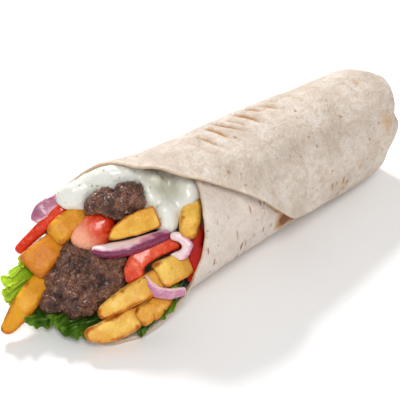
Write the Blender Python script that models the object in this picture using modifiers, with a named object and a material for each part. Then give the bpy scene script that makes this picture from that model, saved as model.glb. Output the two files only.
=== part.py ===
"""A souvlaki wrap, lying on its side: a large soft flatbread rolled once and a half round chips,
grilled minced meat, tomato, red onion, lettuce and tzatziki.

The roll lies along X on the flat strip under it. Its closed, tucked end is at +X and its open mouth
at -X. Angles round the roll are counted from the bottom line: positive up the far side (+Y), over
the top at 180 degrees, and down the near side (-Y). Lengths are in metres.
"""

import math

import bmesh
import bpy
from mathutils import Matrix, Vector, noise
from mathutils.bvhtree import BVHTree

MM = 0.001
CLEARANCE = 0.3 * MM
SEED = 1

# The roll
BREAD_THICK = 1.8 * MM
TURN_GAP = 0.8 * MM
MOUTH_X = -58 * MM
MOUTH_RADIUS = 33.8 * MM
TAIL_X = 95 * MM
TAIL_RADIUS = 29.0 * MM
PRESSED_FLAT = 1.0 * MM
INNER_TURN_START = -172
OUTER_TURN_END = 320
LAP_START, LAP_END = 120, 185
FLAP_LIFT = 0.8 * MM
FLAP_LIFT_REACH = 7 * MM

# The lip of the near side opens out flat, and the far side of the mouth bulges over the filling
LIP_START = -49 * MM
LIP_OPENING = 36.0
FAR_BULGE = 2.0 * MM

# The closed end: the bread's edge curls in over a plug of folded bread
TUCK_LENGTH = 6 * MM
TUCK_DEPTH = 3 * MM
TUCK_MIDDLE_X = 102 * MM
TUCK_BACK_X = 74 * MM
TUCK_FOLD_WIDTH = 9.5 * MM
TUCK_FOLD_HEIGHT = 1.6 * MM
TUCK_FRONT_SHARE = 0.78

# The bread's front edge, from the hidden start of the inner turn, down the near side of the mouth,
# round the lip, up the far side, over the top, and down the flap to its corner: (degrees, x in mm)
FRONT_EDGE = [
    (-172, -27), (-148, -35), (-128, -39), (-105, -43), (-86, -47.5), (-70, -50.5), (-60, -53),
    (-52, -63), (-43, -76), (-33, -88), (-20, -92), (6, -93), (35, -89), (70, -82), (100, -79),
    (118, -74), (135, -64), (152, -57), (172, -54), (187, -50), (201, -44), (221, -30), (244, -14),
    (262, -3), (281, 8), (296, 17), (308, 27), (315, 38), (320, 58),
]

# Where the roll turns in at its closed end: (degrees, x in mm)
TAIL_EDGE = [
    (-172, 97), (-145, 97), (-115, 92), (-80, 88), (-50, 89), (0, 91), (60, 94), (140, 96),
    (180, 97), (200, 102), (227, 98), (250, 91), (285, 88), (320, 91),
]

# The open mouth, as somebody faces it: the filling is set out right, up and outward from its middle
MOUTH_MIDDLE = Vector((-72, 2, 26.6)) * MM
MOUTH_RIGHT = Vector((0.719, -0.695, 0.0))
MOUTH_UP = Vector((0.408, 0.423, 0.809))
MOUTH_OUT = Vector((-0.562, -0.582, 0.588))


# Shared tools

def smooth_step(low, high, value):
    share = min(1.0, max(0.0, (value - low) / (high - low)))
    return share * share * (3 - 2 * share)


def along(stations, place):
    """The smooth curve through (place, value) stations, read at one place."""
    last = len(stations) - 1
    i = 0
    while i < last - 1 and place > stations[i + 1][0]:
        i += 1
    (x1, y1), (x2, y2) = stations[i], stations[i + 1]
    x0, y0 = stations[max(i - 1, 0)]
    x3, y3 = stations[min(i + 2, last)]
    share = min(1.0, max(0.0, (place - x1) / (x2 - x1)))
    rise_1 = (y2 - y0) / (x2 - x0) * (x2 - x1)
    rise_2 = (y3 - y1) / (x3 - x1) * (x2 - x1)
    square, cube = share**2, share**3
    return (
        (2 * cube - 3 * square + 1) * y1
        + (cube - 2 * square + share) * rise_1
        + (3 * square - 2 * cube) * y2
        + (cube - square) * rise_2
    )


def along_points(points, share):
    """The smooth curve through evenly spaced points, or values, read at a share of its length."""
    stations = [i / (len(points) - 1) for i in range(len(points))]
    if not hasattr(points[0], "__len__"):
        return along(list(zip(stations, points)), share)
    return Vector([along(list(zip(stations, [point[i] for point in points])), share) for i in range(3)])


def in_mouth(right, up, out):
    """A point set out in millimetres across the open mouth."""
    return MOUTH_MIDDLE + (MOUTH_RIGHT * right + MOUTH_UP * up + MOUTH_OUT * out) * MM


def new_material(name, colour, roughness):
    material = bpy.data.materials.new(name)
    material.use_nodes = True
    shader = material.node_tree.nodes["Principled BSDF"]
    shader.inputs["Base Color"].default_value = (*colour, 1.0)
    shader.inputs["Roughness"].default_value = roughness
    shader.inputs["Metallic"].default_value = 0.0
    return material


def take_active(name, material, collection):
    """Names the primitive that was just added and moves it to its collection."""
    obj = bpy.context.active_object
    obj.name = name
    for holder in list(obj.users_collection):
        holder.objects.unlink(obj)
    collection.objects.link(obj)
    obj.data.materials.clear()
    obj.data.materials.append(material)
    return obj


def settle(obj):
    """Applies the modifiers and the placing, so the mesh is what stands there."""
    bpy.context.view_layer.update()
    graph = bpy.context.evaluated_depsgraph_get()
    mesh = bpy.data.meshes.new_from_object(obj.evaluated_get(graph))
    mesh.transform(obj.matrix_world)
    obj.modifiers.clear()
    obj.data = mesh
    obj.matrix_world = Matrix.Identity(4)
    bpy.context.view_layer.update()


def swollen_copy(obj, by, collection):
    """A closed copy, larger all round, that presses the shape of obj into a softer piece."""
    mesh = obj.data.copy()
    shell = bmesh.new()
    shell.from_mesh(mesh)
    bmesh.ops.remove_doubles(shell, verts=shell.verts, dist=0.01 * MM)
    shell.normal_update()
    moves = [vert.normal * by * min(2.0, vert.calc_shell_factor()) for vert in shell.verts]
    for vert, move in zip(shell.verts, moves):
        vert.co += move
    shell.to_mesh(mesh)
    shell.free()
    copy = bpy.data.objects.new(obj.name + "_print", mesh)
    collection.objects.link(copy)
    copy.hide_render = True
    copy.display_type = "WIRE"
    return copy


def touch(one, other):
    """Whether the surfaces of two solids cross."""
    trees = []
    for obj in (one, other):
        mesh = bmesh.new()
        mesh.from_mesh(obj.data)
        trees.append(BVHTree.FromBMesh(mesh))
        mesh.free()
    return bool(trees[0].overlap(trees[1]))


def press_into(soft, prints):
    """Takes the room of the harder pieces out of a softer one, with a small gap between them."""
    for print_of_piece in prints:
        if not touch(soft, print_of_piece):
            continue
        cut = soft.modifiers.new("room_for_piece", "BOOLEAN")
        cut.operation = "DIFFERENCE"
        cut.solver = "EXACT"
        cut.object = print_of_piece
        settle(soft)
    keep_largest(soft)


def keep_largest(obj):
    """Drops the loose scraps that a cut leaves beside the piece."""
    mesh = bmesh.new()
    mesh.from_mesh(obj.data)
    left = set(mesh.verts)
    islands = []
    while left:
        island, front = set(), [left.pop()]
        while front:
            vert = front.pop()
            island.add(vert)
            for edge in vert.link_edges:
                other = edge.other_vert(vert)
                if other in left:
                    left.discard(other)
                    front.append(other)
        islands.append(island)
    islands.sort(key=len)
    for island in islands[:-1]:
        bmesh.ops.delete(mesh, geom=list(island), context="VERTS")
    mesh.to_mesh(obj.data)
    mesh.free()


def join_into(target, tool):
    union = target.modifiers.new("joined", "BOOLEAN")
    union.operation = "UNION"
    union.solver = "EXACT"
    union.object = tool
    settle(target)
    keep_largest(target)
    bpy.data.objects.remove(tool)


# The flatbread

def roll_radius(x):
    share = (x - MOUTH_X) / (TAIL_X - MOUTH_X)
    return MOUTH_RADIUS + (TAIL_RADIUS - MOUTH_RADIUS) * share


def on_roll(angle, x, depth=0.0):
    """A point of the bread's outer surface, or one that lies deeper in the roll by depth."""
    turn_step = BREAD_THICK + TURN_GAP
    turned = math.radians(angle)
    side = Vector((x * 22, math.sin(turned) * 1.1, math.cos(turned) * 1.1))
    radius = roll_radius(x) - turn_step + noise.noise(side) * 0.7 * MM
    height = radius - PRESSED_FLAT
    far_top = smooth_step(70, 110, angle) * smooth_step(175, 140, angle)
    radius += FAR_BULGE * far_top * smooth_step(-40 * MM, -62 * MM, x)
    radius += turn_step * smooth_step(LAP_START, LAP_END, angle)
    tucked = max(0.0, 1 + (x - along(TAIL_EDGE, angle) * MM) / TUCK_LENGTH)
    radius -= TUCK_DEPTH * (1 - math.sqrt(max(0.0, 1 - min(tucked, 1.0) ** 2)))
    if angle < 0:
        opened = radius / max(0.05, 1 - LIP_OPENING * max(0.0, LIP_START - x))
        turned *= radius / opened
        height += opened - radius
        radius = opened
    radius -= depth
    z = height - radius * math.cos(turned)
    return Vector((x, radius * math.sin(turned), max(z, depth)))


def hold_inside(obj, room):
    """Presses what stands too far out back under the bread."""
    for vert in obj.data.vertices:
        axis_z = roll_radius(vert.co.x) - BREAD_THICK - TURN_GAP - PRESSED_FLAT
        axis = Vector((vert.co.x, 0, axis_z))
        from_axis = vert.co - axis
        angle = math.degrees(math.atan2(from_axis.y, -from_axis.z))
        if angle < -174:
            angle += 360
        wall = on_roll(angle, vert.co.x, BREAD_THICK + room) - axis
        if from_axis.length > wall.length:
            vert.co = axis + from_axis * (wall.length / from_axis.length)


def build_bread(collection, material):
    """The sheet of bread, rolled from its front edge to the tucked end and given its thickness
    inwards."""
    turn_columns, rows = 41, 11
    bpy.ops.mesh.primitive_grid_add(x_subdivisions=turn_columns, y_subdivisions=rows, size=1.0)
    bread = take_active("flatbread", material, collection)
    for vert in bread.data.vertices:
        share = 0.5 - vert.co.y
        angle = INNER_TURN_START + (OUTER_TURN_END - INNER_TURN_START) * (0.5 - vert.co.x)
        front = along(FRONT_EDGE, angle) * MM
        tail = along(TAIL_EDGE, angle) * MM
        x = front + (tail - front) * (1 - (1 - share) ** 1.25)
        lift = 0.0
        if angle > LAP_END:
            lift = FLAP_LIFT * math.exp(-(x - front) / FLAP_LIFT_REACH)
        vert.co = on_roll(angle, x, -lift)
    wall = bread.modifiers.new("thickness", "SOLIDIFY")
    wall.thickness = BREAD_THICK
    wall.offset = -1
    wall.use_even_offset = False
    settle(bread)
    return bread


def build_tucked_end(collection, material):
    """The folded-in end: the turned-in side of the bread, wound up in a spiral of soft folds."""
    bpy.ops.mesh.primitive_uv_sphere_add(segments=24, ring_count=10, radius=1.0)
    plug = take_active("tucked_end", material, collection)
    for vert in plug.data.vertices:
        away = math.acos(max(-1.0, min(1.0, vert.co.z))) / math.pi
        turn = math.atan2(vert.co.y, vert.co.x)
        angle = math.degrees(turn) % 360
        if angle > 320:
            angle -= 360
        tail = along(TAIL_EDGE, angle) * MM
        share = min(1.0, away / TUCK_FRONT_SHARE)
        fold = (share * TAIL_RADIUS / TUCK_FOLD_WIDTH + turn / math.tau) % 1.0
        x = tail - 1.5 * MM + (TUCK_MIDDLE_X - tail) * (1 - share**2)
        x += TUCK_FOLD_HEIGHT * (math.sin(math.pi * fold) ** 0.6 - 0.6) * (1 - share**6)
        if away > TUCK_FRONT_SHARE:
            back = (away - TUCK_FRONT_SHARE) / (1 - TUCK_FRONT_SHARE)
            x = tail - 1.5 * MM + (TUCK_BACK_X - tail) * min(1.0, back * 3)
            share = 1 - max(0.0, back - 0.4) / 0.6
        # the middle of the bread's wall, which curls in over the last millimetres
        curl = smooth_step(tail - TUCK_LENGTH, tail - 1.5 * MM, x)
        rim = on_roll(min(angle, 300), min(x, tail - TUCK_LENGTH), (0.9 + curl) * MM)
        centre_z = TAIL_RADIUS - 2 * MM
        vert.co = Vector((x, rim.y * share, centre_z + (rim.z - centre_z) * share))
    return plug


# Strips: the cut that chips, slivers of onion and some of the tomato share

STRIP_STEP = 7 * MM


def build_strip(name, spine, widths, heights, facing, softness, material, collection, uneven=0.0, seed=0):
    """A square-cut strip along a spine of points in the mouth. Its height points the facing way and
    its width across that. Both may change from end to end, and its edges are soft. In mm."""
    bpy.ops.mesh.primitive_cube_add(size=1.0)
    strip = take_active(name, material, collection)
    points = [in_mouth(*point) for point in spine]
    length = sum((b - a).length for a, b in zip(points, points[1:]))
    cuts = max(3, round(length / STRIP_STEP) - 1)
    mesh = bmesh.new()
    mesh.from_mesh(strip.data)
    for cut in range(1, cuts + 1):
        place = cut / (cuts + 1) - 0.5
        geometry = mesh.verts[:] + mesh.edges[:] + mesh.faces[:]
        bmesh.ops.bisect_plane(mesh, geom=geometry, plane_co=(place, 0, 0), plane_no=(1, 0, 0))
    for vert in mesh.verts:
        share = vert.co.x + 0.5
        here = along_points(points, share)
        ahead = along_points(points, min(1.0, share + 0.05))
        behind = along_points(points, max(0.0, share - 0.05))
        across = facing.cross(ahead - behind).normalized()
        rise = (ahead - behind).normalized().cross(across)
        spot = Vector((share * 3.1, vert.co.y * 1.6, vert.co.z * 1.6 + seed * 7.7))
        width = along_points(widths, share) * MM * vert.co.y
        height = along_points(heights, share) * MM * vert.co.z
        vert.co = here + across * width + rise * height + noise.noise_vector(spot) * uneven * MM
    mesh.to_mesh(strip.data)
    mesh.free()
    bevel = strip.modifiers.new("soft_edges", "BEVEL")
    bevel.width = softness * MM
    bevel.segments = 2
    bevel.limit_method = "ANGLE"
    bevel.angle_limit = math.radians(40)
    settle(strip)
    return strip


# Lumps: the rounded shape that meat and tomato wedges share

def polar_reach(outline, turn):
    """How far an outline of (right, up) points lies from its middle in one direction."""
    spots = sorted((math.atan2(up, right), math.hypot(right, up)) for right, up in outline)
    before = (spots[-1][0] - math.tau, spots[-1][1])
    after = (spots[0][0] + math.tau, spots[0][1])
    ring = [before] + spots + [after]
    i = 0
    while i < len(ring) - 2 and turn > ring[i + 1][0]:
        i += 1
    share = (turn - ring[i][0]) / max(1e-6, ring[i + 1][0] - ring[i][0])
    return ring[i][1] + (ring[i + 1][1] - ring[i][1]) * share


def build_lump(name, middle, outline, front, back, craggy, cuts, bluntness, seed, material, collection):
    """A rounded lump whose outline, seen from in front of the mouth, is given by points. Front and
    back are how far it stands out and goes in from its middle. In mm."""
    bpy.ops.mesh.primitive_cube_add(size=2.0)
    lump = take_active(name, material, collection)
    mesh = bmesh.new()
    mesh.from_mesh(lump.data)
    bmesh.ops.subdivide_edges(mesh, edges=mesh.edges[:], cuts=cuts, use_grid_fill=True)
    centre = in_mouth(*middle)
    for vert in mesh.verts:
        ray = vert.co.normalized()
        turn = math.atan2(ray.y, ray.x)
        flat = math.hypot(ray.x, ray.y)
        size = (flat**bluntness + abs(ray.z) ** bluntness) ** (-1 / bluntness)
        reach = polar_reach(outline, turn) * flat * size
        depth = ray.z * size * (front if ray.z > 0 else back)
        spot = MOUTH_RIGHT * math.cos(turn) * reach + MOUTH_UP * math.sin(turn) * reach
        spot += MOUTH_OUT * depth
        outward = (MOUTH_RIGHT * ray.x + MOUTH_UP * ray.y + MOUTH_OUT * ray.z).normalized()
        coarse = noise.noise(spot * 0.10 + Vector((seed, 0, 0)))
        crumb = noise.noise(spot * 0.33 + Vector((0, seed, 0)))
        spot += outward * (coarse * 1.0 + crumb * 0.5) * craggy
        vert.co = centre + spot * MM
    mesh.to_mesh(lump.data)
    mesh.free()
    settle(lump)
    return lump


# The chips

# name: (spine from the open end inwards as right, up and out, widths, heights), all in mm
CHIPS = {
    "chip_long": (
        [(-1, -23, 10), (9, -17, 9), (21, -10, 3), (31, -4, -8)], [4.5, 8, 9.5, 9], [4.5, 8, 9, 9]),
    "chip_low_front": (
        [(-6.5, -31, 11), (3, -29.5, 10), (13, -25, 6), (21, -16, -6)], [4, 9.5, 9, 8], [5, 8, 8, 8]),
    "chip_near_wall": (
        [(14.5, -25, 8), (22, -21, 4), (28, -14, -4), (31, -8, -11)], [7.5, 8.5, 8, 7], [8, 8, 8, 7]),
    "chip_far_low": (
        [(-41, -31, 5), (-34, -22, 4), (-27, -11, -2), (-20, -3, -9)], [4, 9, 9, 8], [4, 8, 9, 8]),
    "chip_far_thick": ([(-31, -5, 0), (-24, 2, -2), (-12, 12, -11)], [13, 11.5, 10], [10, 10, 9]),
    "chip_far_high": ([(-21, 8, 1), (-12, 16, -3), (-1, 25, -13)], [9.5, 9.5, 9], [8.5, 8.5, 8]),
    "chip_top_slab": ([(3, 8, 10), (11, 13, 9), (22, 17, 5)], [1.5, 8.5, 9], [3, 6, 6]),
    "chip_under_sauce": ([(35.5, 8, 4), (36, 15, 2), (37, 23, -3)], [5, 8, 7.5], [5, 7, 7]),
    "chip_short": ([(22.5, -8, 5), (29, -5, 2), (36, -2, -6)], [10, 11, 10], [9, 9, 8]),
}
CHIP_SOFTNESS = 1.6
CHIP_UNEVEN = 1.2


def build_chips(collection):
    """Thick-cut fried potato, tapered where the knife ran off the end."""
    fried = new_material("chip", (0.83, 0.52, 0.13), 0.5)
    chips = []
    for seed, (name, (spine, widths, heights)) in enumerate(CHIPS.items()):
        chip = build_strip(
            name, spine, widths, heights, MOUTH_OUT, CHIP_SOFTNESS, fried, collection, CHIP_UNEVEN, seed)
        chips.append(chip)
    return chips


# The tomato

# name: (spine, widths, heights, softness of its edges), in mm
TOMATO_STRIPS = {
    "tomato_far": ([(-37, 2, -3.5), (-28, 11, -4.5), (-17, 21, -4.5)], [3.5, 4.5, 4], [7, 9, 8], 0.9),
    "tomato_right": (
        [(13.5, -10, 4), (13, -3.5, 4), (18, 2, 3), (30, 7, -2)], [7.5, 8, 7.5, 7], [7, 8, 8, 8], 1.2),
}
# name: (middle, outline round it as right and up, front, back, craggy), in mm
TOMATO_LUMPS = {
    "tomato_middle": (
        (-4.5, 10.5, 1), [(-10, -3), (-5, -8), (2.5, -7), (8.5, 2), (9.5, 7), (5, 8), (-5, 3.5)], 5, 9, 0.5),
    "tomato_near_wall": (
        (37.6, 3, -3), [(1.5, 13), (3, 2), (-1, -16), (-4, -5), (-3, 5)], 4, 8, 0.3),
}


def build_tomato(collection):
    """Wedges and strips of ripe tomato."""
    ripe = new_material("tomato", (0.78, 0.06, 0.02), 0.2)
    cuts = []
    for name, (spine, widths, heights, softness) in TOMATO_STRIPS.items():
        cuts.append(build_strip(name, spine, widths, heights, MOUTH_OUT, softness, ripe, collection))
    for seed, (name, (middle, outline, front, back, craggy)) in enumerate(TOMATO_LUMPS.items()):
        cuts.append(build_lump(name, middle, outline, front, back, craggy, 4, 2.4, seed, ripe, collection))
    return cuts


# The onion

# name: (spine, widths, heights), in mm
ONIONS = {
    "onion_middle": (
        [(-4, 3.3, 8), (3, 3, 9), (13.5, 5, 8.5), (27, 9.5, 3)], [2.5, 5.5, 5.5, 4], [3, 4, 4, 4]),
    "onion_curl": (
        [(28, 9, 5), (32.5, 8.8, 5), (35.5, 5, 5), (33.5, 1.2, 5), (28, 0, 4)],
        [2.5, 4, 4.2, 4, 2.5], [3] * 5),
    "onion_low": (
        [(17.5, -7.5, 7), (20, -12, 8), (25.5, -15, 7), (33.5, -14, 2)], [2, 4, 4.2, 3], [3.5, 4, 4, 3.5]),
    "onion_far": ([(-29, 14.5, -2), (-26, 19, -1), (-20, 23.5, -4)], [4.5, 7.5, 6], [3, 3, 3]),
}
ONION_SOFTNESS = 0.6


def build_onions(collection):
    """Slivers of red onion; the middle one lies tilted, so that its white face looks up."""
    crisp = new_material("onion", (0.60, 0.25, 0.42), 0.3)
    slivers = []
    for name, (spine, widths, heights) in ONIONS.items():
        facing = MOUTH_OUT
        if name == "onion_middle":
            facing = (MOUTH_UP + MOUTH_OUT).normalized()
        sliver = build_strip(name, spine, widths, heights, facing, ONION_SOFTNESS, crisp, collection)
        slivers.append(sliver)
    return slivers


# The meat

# name: (middle, outline round it as right and up, front, back, craggy, bluntness), in mm
MEATS = {
    "meat_large": (
        (-9, -10.5, -2),
        [(-5.5, 17), (-1.5, 12.5), (20, 11), (19, 0.5), (7.5, -9), (1, -14.5), (-4, -16), (-9, -13.5),
         (-19.5, -10.5), (-16, -2.5), (-11, 6.5)],
        11, 13, 1.8, 3.2),
    "meat_small": (
        (4.5, 22.5, 4),
        [(-13, 0), (-4.5, 5), (0.5, 5), (1, 8), (5.5, 9), (10.5, 7.5), (12, 4.5), (11, -4), (4, -7.5),
         (0, -5), (-4.5, -2), (-11.5, -4.5)],
        6, 9, 1.3, 2.6),
}


def build_meat(collection):
    """Two pieces of grilled minced meat with a craggy crust."""
    grilled = new_material("meat", (0.11, 0.05, 0.03), 0.6)
    lumps = []
    for seed, (name, (middle, outline, front, back, craggy, bluntness)) in enumerate(MEATS.items()):
        lump = build_lump(
            name, middle, outline, front, back, craggy, 5, bluntness, 3 + 6 * seed, grilled, collection)
        hold_inside(lump, 0.6 * MM)
        lumps.append(lump)
    return lumps


# The lettuce

# Round the mouth, (degrees, x in mm) of its ruffled edge; a frill is (where, how wide, how high in mm)
LEAF_EDGE = [
    (-66, -58), (-52, -71), (-36, -84), (-20, -95), (0, -101), (24, -107), (46, -110), (64, -107),
    (82, -96),
]
LEAF_START, LEAF_END = LEAF_EDGE[0][0], LEAF_EDGE[-1][0]
LEAF_THICK = 0.7 * MM
LEAF_LENGTH = 42 * MM
LEAF_FRILLS = [(-56, 12, 4.0), (10, 22, 7.5), (62, 16, 6.5)]
LEAF_WAVE = 18.5


def build_lettuce(collection):
    """The leaf under the filling: it lines the lip of the bread, and its ruffled edge stands out of
    the mouth between the chips."""
    green = new_material("lettuce", (0.20, 0.48, 0.05), 0.4)
    bpy.ops.mesh.primitive_grid_add(x_subdivisions=46, y_subdivisions=5, size=1.0)
    leaf = take_active("lettuce", green, collection)
    for vert in leaf.data.vertices:
        inward = 0.5 - vert.co.y
        angle = LEAF_START + (LEAF_END - LEAF_START) * (0.5 - vert.co.x)
        frill = sum(high * math.exp(-((angle - at) / wide) ** 2) for at, wide, high in LEAF_FRILLS)
        near_edge = (1 - inward) ** 2.0
        wave = math.tau * angle / LEAF_WAVE + 0.8 * math.sin(angle * 0.11)
        reach_in = LEAF_LENGTH * (1 - 0.75 * abs((angle - 10) / 76) ** 3)
        x = along(LEAF_EDGE, angle) * MM + reach_in * inward**1.3
        x += 1.2 * MM * near_edge * math.sin(wave * 0.5 + 1)
        swing = 0.9 * near_edge * math.cos(wave) * min(1.0, frill / 3)
        stand = frill * near_edge * (0.5 + 0.5 * math.sin(wave)) * MM
        room = (1.6 + smooth_step(-30, -55, angle)) * MM
        vert.co = on_roll(angle + swing, x, BREAD_THICK + LEAF_THICK + room + stand)
    even = leaf.modifiers.new("even_faces", "TRIANGULATE")
    even.quad_method = "FIXED"
    wall = leaf.modifiers.new("thickness", "SOLIDIFY")
    wall.thickness = LEAF_THICK
    wall.offset = 1
    settle(leaf)
    return leaf


# The tzatziki

SAUCE_FRONT = -30 * MM
SAUCE_BACK = TUCK_BACK_X - 3 * MM
# each dollop's middle and half sizes, both as right, up and out in mm, and how fine its surface is
DOLLOPS = [
    ((24, 31, -24), (24, 17, 24), 2),
    ((2, 33, -5), (17, 12, 11), 3),
    ((-12, 26, -3), (10, 8, 8), 2),
    ((20, 26, -1), (7, 10, 7), 3),
    ((26, 16.5, 1), (5.5, 8.5, 5), 2),
    ((34, 25, -2), (7, 10, 6), 3),
]


def build_tzatziki(collection):
    """The sauce: a core that binds the roll to its closed end, a thick layer under the top of the
    mouth, and the dollops that have run out over the filling."""
    white = new_material("tzatziki", (0.86, 0.87, 0.80), 0.3)
    length = SAUCE_BACK - SAUCE_FRONT
    bpy.ops.mesh.primitive_cylinder_add(vertices=32, radius=2 * MOUTH_RADIUS, depth=length)
    core = take_active("tzatziki", white, collection)
    core.data.transform(Matrix.Rotation(math.pi / 2, 4, "Y"))
    core.data.transform(Matrix.Translation((SAUCE_FRONT + length / 2, 0, TAIL_RADIUS)))
    hold_inside(core, 1.4 * MM)
    for number, (middle, half, fineness) in enumerate(DOLLOPS):
        bpy.ops.mesh.primitive_ico_sphere_add(subdivisions=fineness, radius=1.0)
        dollop = take_active("dollop", white, collection)
        for vert in dollop.data.vertices:
            swell = 1 + 0.12 * noise.noise(vert.co * 1.7 + Vector((number * 3.3, 0, 0)))
            spot = [middle[i] + vert.co[i] * half[i] * swell for i in range(3)]
            vert.co = in_mouth(*spot)
        hold_inside(dollop, 1.2 * MM)
        join_into(core, dollop)
    return core


# The wrap

def remove(objects):
    for obj in list(objects):
        bpy.data.objects.remove(obj)


def new_collection(name):
    collection = bpy.data.collections.new(name)
    bpy.context.scene.collection.children.link(collection)
    return collection


def main():
    noise.seed_set(SEED)
    remove(bpy.data.objects)
    wrap = new_collection("souvlaki_wrap")
    cutters = new_collection("prints_of_pieces")

    bread_skin = new_material("flatbread", (0.80, 0.70, 0.57), 0.75)
    bread = build_bread(wrap, bread_skin)
    bread_print = swollen_copy(bread, 1.1 * CLEARANCE, cutters)
    join_into(bread, build_tucked_end(wrap, bread_skin))
    leaf = build_lettuce(wrap)
    leaf_print = swollen_copy(leaf, 1.4 * CLEARANCE, cutters)

    # from firm to soft: each piece gives way to the ones before it, and the sauce to them all
    pieces = build_chips(wrap) + build_tomato(wrap) + build_onions(wrap) + build_meat(wrap)
    prints = [swollen_copy(piece, 1.6 * CLEARANCE, cutters) for piece in pieces]
    for place, piece in enumerate(pieces):
        press_into(piece, [bread_print, leaf_print] + prints[:place])
    press_into(build_tzatziki(wrap), [leaf_print] + prints)

    remove(cutters.objects)
    for obj in wrap.objects:
        obj.data.shade_smooth()
        obj.data.set_sharp_from_angle(angle=math.radians(40))


main()
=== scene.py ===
"""A souvlaki wrap as it comes off the counter: a soft flatbread rolled round hand-cut chips, grilled
minced meat, tomato, red onion, lettuce and tzatziki. The script works in millimetres until a mesh is
made. Angles round the roll are in degrees from the line it lies on, up the far side and over the top.
"""

import math

import bmesh
import bpy
import numpy as np
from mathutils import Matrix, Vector, noise


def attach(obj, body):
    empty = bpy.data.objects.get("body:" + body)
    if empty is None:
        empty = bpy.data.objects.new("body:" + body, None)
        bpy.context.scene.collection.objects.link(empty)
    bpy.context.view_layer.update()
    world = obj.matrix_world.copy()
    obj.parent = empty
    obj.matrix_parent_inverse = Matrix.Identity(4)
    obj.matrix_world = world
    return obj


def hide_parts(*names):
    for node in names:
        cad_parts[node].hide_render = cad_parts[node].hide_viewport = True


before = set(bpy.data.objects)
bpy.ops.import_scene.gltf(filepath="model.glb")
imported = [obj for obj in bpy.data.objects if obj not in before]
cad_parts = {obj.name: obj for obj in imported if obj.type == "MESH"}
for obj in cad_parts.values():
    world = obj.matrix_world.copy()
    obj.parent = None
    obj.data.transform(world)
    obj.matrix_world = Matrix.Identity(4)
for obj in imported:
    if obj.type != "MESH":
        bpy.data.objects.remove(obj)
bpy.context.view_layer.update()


# The flatbread: one thin, soft sheet of wheat dough, baked on a hot plate. It is drawn here as it lies
# flat on the board, with its blisters, creases and soft edges, and a Geometry Nodes tree rolls it up:
# once and a third round, wider at the mouth, with the last turn lying over the one below.

MM = 0.001
BREAD_THICK = 1.8
TURN_STEP = 2.6
MOUTH_X, MOUTH_RADIUS = -58.0, 33.8
TAIL_X, TAIL_RADIUS = 95.0, 29.0
PRESSED_FLAT = 1.0
TUCK_LENGTH, TUCK_DEPTH = 6.0, 3.0
LIP_START, LIP_OPENING = -49.0, 0.036
FAR_BULGE = 2.0
INNER_TURN_START, OUTER_TURN_END = -172.0, 320.0
LAP_START, LAP_END = 120.0, 185.0
# Where the sheet starts and ends along the roll: degrees round it, x
FRONT_EDGE = [
    (-172, -27), (-148, -35), (-128, -39), (-105, -43), (-86, -47.5), (-70, -50.5), (-60, -53),
    (-52, -63), (-43, -76), (-33, -88), (-20, -92), (6, -93), (35, -89), (70, -82), (100, -79),
    (118, -74), (135, -64), (152, -57), (172, -54), (187, -50), (201, -44), (221, -30), (244, -14),
    (259, -4), (270, 3), (278, 11), (284, 22), (291, 36), (300, 50), (310, 64), (320, 76),
]
TAIL_EDGE = [
    (-172, 97), (-145, 97), (-115, 92), (-80, 88), (-50, 89), (0, 91), (60, 94), (140, 96),
    (180, 97), (200, 102), (227, 98), (250, 91), (285, 88), (320, 91),
]
MEAN_RADIUS = 31.0
MM_PER_DEGREE = math.radians(MEAN_RADIUS)


class Value:
    """A value inside a node tree. Sums written with it add the Math nodes that work them out."""

    def __init__(self, tree, socket=None):
        self.tree = tree
        self.socket = socket

    def node(self, kind, settings=None, inputs=None, out=0):
        """Adds any other node: its kind, its settings, and what goes into its sockets."""
        made = self.tree.nodes.new(kind)
        for name, setting in (settings or {}).items():
            setattr(made, name, setting)
        for name, given in (inputs or {}).items():
            if isinstance(given, Value):
                self.tree.links.new(given.socket, made.inputs[name])
            else:
                made.inputs[name].default_value = given
        return Value(self.tree, made.outputs[out] if made.outputs else None)

    def also(self, out):
        """Another output of the node that this value comes from."""
        return Value(self.tree, self.socket.node.outputs[out])

    def sum(self, operation, *others):
        """A Math node on this value and on any others."""
        return self.node(
            "ShaderNodeMath", {"operation": operation}, dict(enumerate((self, *others))))

    def turned(self, operation, first):
        """A Math node in which this value comes second."""
        return self.node("ShaderNodeMath", {"operation": operation}, {0: first, 1: self})

    def __add__(self, other):
        return self.sum("ADD", other)

    def __sub__(self, other):
        return self.sum("SUBTRACT", other)

    def __mul__(self, other):
        return self.sum("MULTIPLY", other)

    def __truediv__(self, other):
        return self.sum("DIVIDE", other)

    def __radd__(self, other):
        return self.turned("ADD", other)

    def __rsub__(self, other):
        return self.turned("SUBTRACT", other)

    def __rmul__(self, other):
        return self.turned("MULTIPLY", other)

    def __rtruediv__(self, other):
        return self.turned("DIVIDE", other)

    def __lt__(self, other):
        return self.sum("LESS_THAN", other)

    def at_least(self, other):
        return self.sum("MAXIMUM", other)

    def at_most(self, other):
        return self.sum("MINIMUM", other)

    def eased(self, low, high):
        """0 below low, 1 above high, and a smooth rise between them. Low may be above high."""
        settings = {"interpolation_type": "SMOOTHSTEP", "clamp": True}
        reach = {"Value": self, "From Min": low, "From Max": high}
        return self.node("ShaderNodeMapRange", settings, reach)

    def mixed(self, colour, other):
        """One colour where this value is 0, the other where it is 1."""
        inputs = {0: self, 6: colour, 7: other}
        return self.node("ShaderNodeMix", {"data_type": "RGBA"}, inputs, out=2)

    def stretched(self, *by):
        """This vector, made longer or shorter along each axis."""
        return self.node("ShaderNodeVectorMath", {"operation": "MULTIPLY"}, {0: self, 1: by})

    def noise(self, size, detail=3.0, rough=0.55, bend=0.0):
        """Cloudy values from 0 to 1 with lumps of about one size, in the units of this vector."""
        inputs = {
            "Vector": self, "Scale": 1 / size, "Detail": detail, "Roughness": rough,
            "Distortion": bend}
        return self.node("ShaderNodeTexNoise", None, inputs)


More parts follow.
